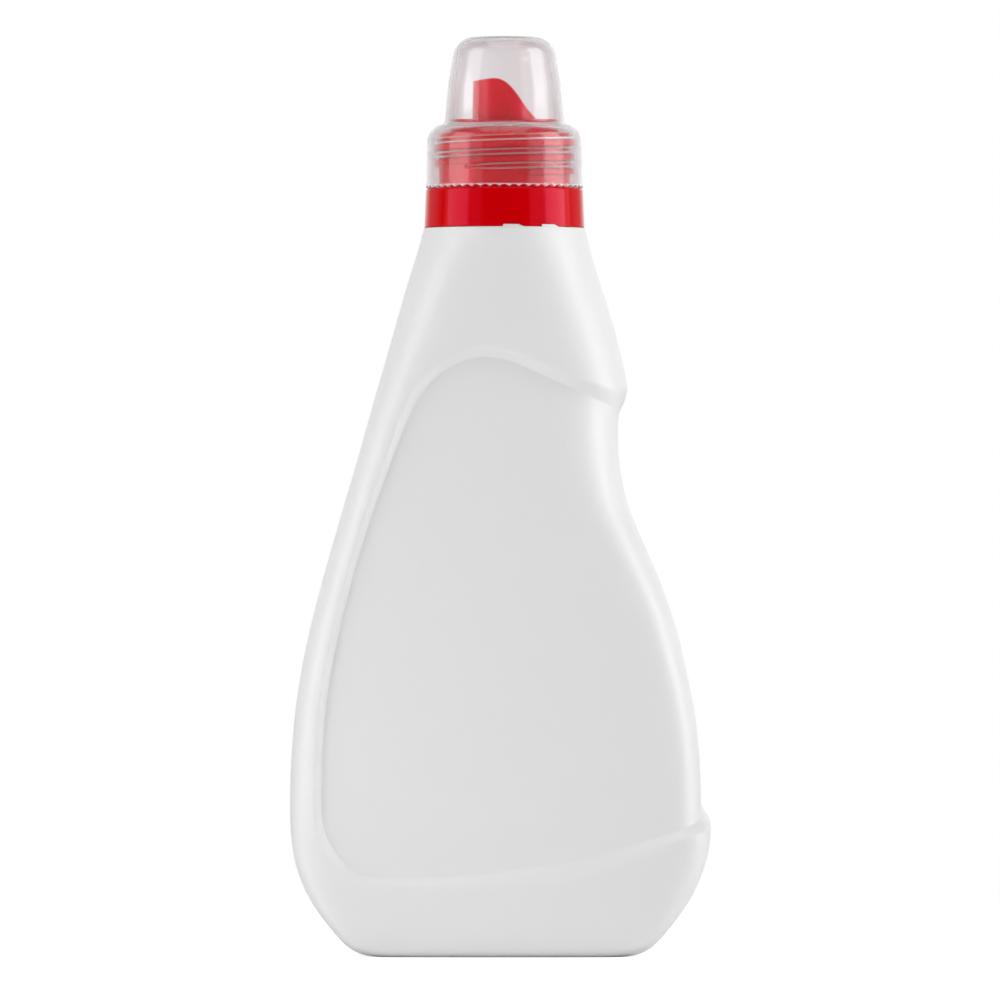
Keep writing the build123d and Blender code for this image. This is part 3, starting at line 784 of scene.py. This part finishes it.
def make_cap():
    """Injection-moulded cap: one wall all over, fine arches in its rim and a thread inside its skirt."""
    outside = rounded(cap_outline(0))
    inside = rounded(cap_outline(CAP_WALL))
    (rim, _), (inner_rim, _) = outside[0], inside[0]
    # The ring of faces over the rim follows the skirt's taper
    lower = [(inner_rim + RIM_EDGE, 0), (rim - RIM_EDGE, 0), (rim, RIM_EDGE_HEIGHT), (rim - 0.02, RIM_BAND)]
    upper = [(inner_rim - 0.01, RIM_BAND), (inner_rim, RIM_EDGE_HEIGHT)]
    piece = loop_piece("dosing_cap_body", lower + outside[1:] + inside[:0:-1] + upper)
    only(piece)
    bpy.ops.object.mode_set(mode="EDIT")
    pick_edges(piece, lambda corners, edge: all(abs(c.x) < NEAR for c in corners))
    bpy.ops.mesh.delete(type="EDGE")
    bpy.ops.mesh.select_all(action="SELECT")
    bpy.ops.mesh.spin(steps=ARCHES * ARCH_STEPS, angle=TURN, center=(0, 0, 0), axis=(0, 0, 1))
    bpy.ops.object.mode_set(mode="OBJECT")
    close_skin(piece)
    for corner in piece.data.vertices:
        height = corner.co.z / MM
        if height < 0.2:                        # the rim's faces
            place = (math.atan2(corner.co.y, corner.co.x) / TURN * ARCHES) % 1
            off = (place - 0.5) / ARCH_HALF
            corner.co.z = (height + ARCH_HEIGHT * math.sqrt(max(0.0, 1 - off * off))) * MM
    thread = dict(CAP_THREAD, height=CAP_THREAD["height"] - RIM)
    joined(piece, ridge("cap_ridge", CAP_RIDGE, CAP_THREAD_ROOT, thread))
    stand_on_ledge(piece, RIM)
    smooth_shading(piece, MOULDED_SHADING)
    return piece


def ledge_lug(turn):
    """Ratchet tooth of the bottle, sunk a little into its ledge."""
    edge = SHOULDER - LUG_SETBACK
    tooth = lug_body("lug", turn, 0.0, edge - COLLAR_WALL, edge, LUG_ROOT)
    only(tooth)
    bpy.ops.object.mode_set(mode="EDIT")
    pick_edges(tooth, lambda corners, line: all(c.z > LUG_SINK for c in corners)
               and line.calc_face_angle(0) > 1)
    bpy.ops.mesh.bevel(offset=LUG_ROUND * MM, segments=2)
    bpy.ops.object.mode_set(mode="OBJECT")
    stand_on_ledge(tooth)
    return tooth


def base_seam():
    """Pinched line where the mould closed the tube, across the dish of the foot."""
    bpy.ops.object.select_all(action="DESELECT")
    bpy.ops.mesh.primitive_cube_add(size=MM)
    seam = bpy.context.object
    bpy.ops.object.mode_set(mode="EDIT")
    bpy.ops.transform.resize(value=(SEAM_LENGTH, 2 * SEAM_HALF, SEAM_THICKNESS))
    bpy.ops.transform.translate(value=(0, 0, (PUSH_UP + SEAM_THICKNESS / 2 - SEAM_PROUD) * MM))
    pick_edges(seam, lambda corners, edge: all(c.z < PUSH_UP for c in corners))
    bpy.ops.mesh.bevel(offset=SEAM_ROUND * MM, segments=3)
    bpy.ops.object.mode_set(mode="OBJECT")
    return seam


def add_details(piece, details):
    """Join small moulded-on details to a piece."""
    only(piece)
    for detail in details:
        detail.select_set(True)
    bpy.ops.object.join()


def linear(colour):
    """Linear colour of an sRGB hex value."""
    parts = [int(colour[k:k + 2], 16) / 255 for k in (1, 3, 5)]
    return tuple(p / 12.92 if p <= 0.04045 else ((p + 0.055) / 1.055) ** 2.4 for p in parts) + (1.0,)


def add_node(tree, kind, links=None, **settings):
    """Add a node, with its settings, the values of its sockets (in_Name) and what feeds them."""
    node = tree.nodes.new(kind)
    for name, value in settings.items():
        if name.startswith("in_"):
            node.inputs[name[3:].replace("_", " ")].default_value = value
        else:
            setattr(node, name, value)
    for name, source in (links or {}).items():
        tree.links.new(source, node.inputs[name])
    return node


def new_material(name):
    """Empty material and its node tree."""
    material = bpy.data.materials.new(name)
    material.use_nodes = True
    material.node_tree.nodes.clear()
    return material, material.node_tree


def surface_bump(tree, place, wave, detail, strength, depth, over=None):
    """Normal of a surface with fine noise, by the size of its waves and their depth in millimetres."""
    noise = add_node(tree, "ShaderNodeTexNoise", {"Vector": place}, in_Scale=1 / (wave * MM),
                     in_Detail=detail)
    links = {"Height": noise.outputs["Fac"]}
    if over:
        links["Normal"] = over
    bump = add_node(tree, "ShaderNodeBump", links, in_Strength=strength, in_Distance=depth * MM)
    return bump.outputs["Normal"]


def moulded_hdpe():
    """Blow-moulded white HDPE: satin, a little light goes into it, slow waves of the mould, fine grain."""
    material, tree = new_material("blow_moulded_hdpe")
    place = add_node(tree, "ShaderNodeTexCoord").outputs["Object"]
    waves = surface_bump(tree, place, wave=28, detail=1.0, strength=0.12, depth=0.6)
    # The mould's grain is finer, and drawn as coarse as it needs to show
    grain = surface_bump(tree, place, wave=0.7, detail=3.0, strength=0.08, depth=0.1, over=waves)
    shader = add_node(tree, "ShaderNodeBsdfPrincipled", {"Normal": grain}, in_Base_Color=linear("#E6E6E6"),
                      in_Roughness=0.42, in_IOR=1.54, in_Subsurface_Weight=0.2,
                      in_Subsurface_Radius=(1.0, 1.0, 1.0), in_Subsurface_Scale=1.5 * MM)
    add_node(tree, "ShaderNodeOutputMaterial", {"Surface": shader.outputs["BSDF"]})
    return material


def moulded_red_pp():
    """Injection-moulded red polypropylene: glossy, deep in colour, with reddened reflections."""
    material, tree = new_material("injection_moulded_red_polypropylene")
    place = add_node(tree, "ShaderNodeTexCoord").outputs["Object"]
    flow = surface_bump(tree, place, wave=9, detail=2.0, strength=0.05, depth=0.2)
    shader = add_node(tree, "ShaderNodeBsdfPrincipled", {"Normal": flow}, in_Base_Color=linear("#CA0006"),
                      in_Roughness=0.12, in_IOR=1.49, in_Specular_Tint=(1.0, 0.12, 0.3, 1.0))
    add_node(tree, "ShaderNodeOutputMaterial", {"Surface": shader.outputs["BSDF"]})
    return material


def moulded_natural_pp():
    """Injection-moulded natural polypropylene: lets the spout be seen, milkier aslant, with a gloss.

    Its low refraction leaves what lies behind in its place; the coat has the plastic's own.
    """
    material, tree = new_material("injection_moulded_natural_polypropylene")
    place = add_node(tree, "ShaderNodeTexCoord").outputs["Object"]
    flow = surface_bump(tree, place, wave=6, detail=2.0, strength=0.03, depth=0.2)
    aslant = add_node(tree, "ShaderNodeLayerWeight", in_Blend=0.5)
    clear = add_node(tree, "ShaderNodeMapRange", {"Value": aslant.outputs["Facing"]},
                     interpolation_type="SMOOTHSTEP", in_From_Min=0.3, in_From_Max=0.8, in_To_Min=0.995,
                     in_To_Max=0.5)
    # Painted highlight: a band along the rim, set by height alone, lets less through and shows milky white
    # in place of light carried down the wall, so the shade in the gap behind doesn't show as a dark line
    height = add_node(tree, "ShaderNodeSeparateXYZ", {"Vector": place}).outputs["Z"]
    rim = LEDGE + RIM + ARCH_HEIGHT
    edge = add_node(tree, "ShaderNodeMapRange", {"Value": height}, interpolation_type="SMOOTHSTEP",
                    in_From_Min=rim * MM, in_From_Max=(rim + 0.4) * MM, in_To_Min=0.35, in_To_Max=0.0)
    through = add_node(tree, "ShaderNodeMath", {0: clear.outputs["Result"], 1: edge.outputs["Result"]},
                       operation="SUBTRACT", use_clamp=True)
    shader = add_node(tree, "ShaderNodeBsdfPrincipled",
                      {"Normal": flow, "Transmission Weight": through.outputs["Value"]},
                      in_Base_Color=linear("#F4F1F2"), in_Roughness=0.14, in_IOR=1.2, in_Coat_Weight=0.55,
                      in_Coat_Roughness=0.08, in_Coat_IOR=1.49)
    tint = add_node(tree, "ShaderNodeVolumeAbsorption", in_Color=(0.75, 0.72, 0.73, 1.0),
                    in_Density=0.18 / MM)
    add_node(tree, "ShaderNodeOutputMaterial",
             {"Surface": shader.outputs["BSDF"], "Volume": tint.outputs["Volume"]})
    return material


PIECES = [
    (make_bottle, moulded_hdpe, "bottle", "bottle", "white_hdpe"),
    (make_pour_spout, moulded_red_pp, "pour_spout", "bottle", "red_pp"),
    (make_cap, moulded_natural_pp, "dosing_cap", "cap", "natural_pp"),
]
for make, finish, node, body, slot in PIECES:
    piece = make()
    piece.data.materials.clear()
    piece.data.materials.append(finish())
    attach(piece, body)
    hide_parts(node)

# Studio, in metres
scene = bpy.context.scene
scene.view_settings.view_transform = "Standard"
WALL_LIGHT = 0.36          # how strongly the white wall behind lights the bottle
WALL_EDGE = (0.1, 0.5)     # where it starts and where it is full, by how far a ray points to the back
BACKDROP_EDGE = (0.75, 0.95)    # the same for the brighter backdrop that glossy surfaces mirror
FLOOR_GLOW = 0.62          # light that the floor has to the camera of its own, beside the lamps'
FLOOR_FADE = (0.15, 0.5)   # distances from the bottle over which it turns plain white
CAMERA_DISTANCE = 3.2
CAMERA_HEIGHT = 0.13355
PICTURE_WIDTH = 0.2943     # seen at the bottle's middle plane
SENSOR = 36
WHITE = (1, 1, 1, 1)
# Name, turn in degrees, then metres: distance, width, height, level and the level aimed at; then watts
LAMPS = [
    ("softbox_left", -65, 1.1, 1.35, 1.7, 0.4, 0.4, 4.1),
    ("softbox_right", 73, 1.1, 1.6, 1.7, 0.4, 0.4, 8.4),
    ("strip_left", -72, 1.09, 0.7, 1.7, 0.4, 0.4, 8.0),
    ("strip_right", 80, 1.09, 0.7, 1.7, 0.4, 0.4, 11.2),
    ("card_left", -35, 0.6, 0.5, 0.08, 0.04, 0.04, 0.84),
    ("card_front", 0, 0.8, 0.8, 0.05, 0.025, 0.025, 0.32),
    ("overhead", 0, 0.25, 1.0, 0.6, 1.4, 0.15, 3.6),
]


def make_floor():
    """Plain white floor that keeps the soft shadow near the bottle, and is white to the camera far off."""
    bpy.ops.mesh.primitive_plane_add(size=80, location=(0, 0, 0))
    floor = bpy.context.object
    floor.name = "floor"
    material, tree = new_material("white_paper_floor")
    path = add_node(tree, "ShaderNodeLightPath")
    paper = add_node(tree, "ShaderNodeBsdfDiffuse", in_Color=linear("#F4F4F4"))
    glow = add_node(tree, "ShaderNodeEmission", in_Color=WHITE, in_Strength=FLOOR_GLOW)
    both = add_node(tree, "ShaderNodeAddShader", {0: paper.outputs[0], 1: glow.outputs[0]})
    seen = add_node(tree, "ShaderNodeMath",
                    {0: path.outputs["Is Camera Ray"], 1: path.outputs["Is Transmission Ray"]},
                    operation="MAXIMUM")
    place = add_node(tree, "ShaderNodeTexCoord").outputs["Object"]
    away = add_node(tree, "ShaderNodeVectorMath", {0: place}, operation="LENGTH")
    far = add_node(tree, "ShaderNodeMapRange", {"Value": away.outputs["Value"]},
                   interpolation_type="SMOOTHSTEP", in_From_Min=FLOOR_FADE[0], in_From_Max=FLOOR_FADE[1])
    white = add_node(tree, "ShaderNodeEmission", in_Color=WHITE, in_Strength=1.0)
    near = add_node(tree, "ShaderNodeMixShader",
                    {"Fac": far.outputs["Result"], 1: both.outputs[0], 2: white.outputs[0]})
    mix = add_node(tree, "ShaderNodeMixShader",
                   {"Fac": seen.outputs[0], 1: paper.outputs[0], 2: near.outputs[0]})
    add_node(tree, "ShaderNodeOutputMaterial", {"Surface": mix.outputs[0]})
    floor.data.materials.append(material)


def make_world():
    """White to the camera and through the cap; for the rest a dim room with a white wall behind."""
    world = bpy.data.worlds.new("studio")
    world.use_nodes = True
    tree = world.node_tree
    tree.nodes.clear()
    path = add_node(tree, "ShaderNodeLightPath")
    seen = add_node(tree, "ShaderNodeMath",
                    {0: path.outputs["Is Camera Ray"], 1: path.outputs["Transmission Depth"]},
                    operation="MAXIMUM", use_clamp=True)
    place = add_node(tree, "ShaderNodeTexCoord").outputs["Generated"]
    back = add_node(tree, "ShaderNodeSeparateXYZ", {"Vector": place}).outputs["Y"]
    wall, backdrop = (
        add_node(tree, "ShaderNodeMapRange", {"Value": back}, interpolation_type="SMOOTHSTEP",
                 in_From_Min=start, in_From_Max=end, in_To_Max=light)
        for (start, end), light in ((WALL_EDGE, WALL_LIGHT), (BACKDROP_EDGE, 1 - WALL_LIGHT)))
    glossy = add_node(tree, "ShaderNodeMath",
                      {0: path.outputs["Is Glossy Ray"], 1: backdrop.outputs["Result"],
                       2: wall.outputs["Result"]},
                      operation="MULTIPLY_ADD")
    strength = add_node(tree, "ShaderNodeMix", {"Factor": seen.outputs[0], "A": glossy.outputs[0]},
                        in_B=1.0)
    room = add_node(tree, "ShaderNodeBackground", {"Strength": strength.outputs["Result"]}, in_Color=WHITE)
    add_node(tree, "ShaderNodeOutputWorld", {"Surface": room.outputs[0]})
    scene.world = world


def softbox(name, turn, distance, width, height, level, aim, power):
    """Soft lamp at a turn round the bottle from the camera's side, aimed at a level on the upright axis."""
    lamp = bpy.data.lights.new(name, "AREA")
    lamp.shape, lamp.size, lamp.size_y, lamp.energy = "RECTANGLE", width, height, power
    box = bpy.data.objects.new(name, lamp)
    bpy.context.collection.objects.link(box)
    angle = math.radians(turn)
    box.location = (distance * math.sin(angle), -distance * math.cos(angle), level)
    box.rotation_euler = (Vector((0, 0, aim)) - box.location).to_track_quat("-Z", "Y").to_euler()
    box.visible_camera = False


def make_camera():
    """Long lens level with the bottle's middle, on its front axis."""
    lens = bpy.data.cameras.new("camera")
    lens.sensor_width = SENSOR
    lens.lens = SENSOR * CAMERA_DISTANCE / PICTURE_WIDTH
    lens.clip_end = 100
    camera = bpy.data.objects.new("camera", lens)
    camera.location = (0, -CAMERA_DISTANCE, CAMERA_HEIGHT)
    camera.rotation_euler = (math.radians(90), 0, 0)
    bpy.context.collection.objects.link(camera)
    scene.camera = camera


make_floor()
make_world()
for lamp in LAMPS:
    softbox(*lamp)
make_camera()
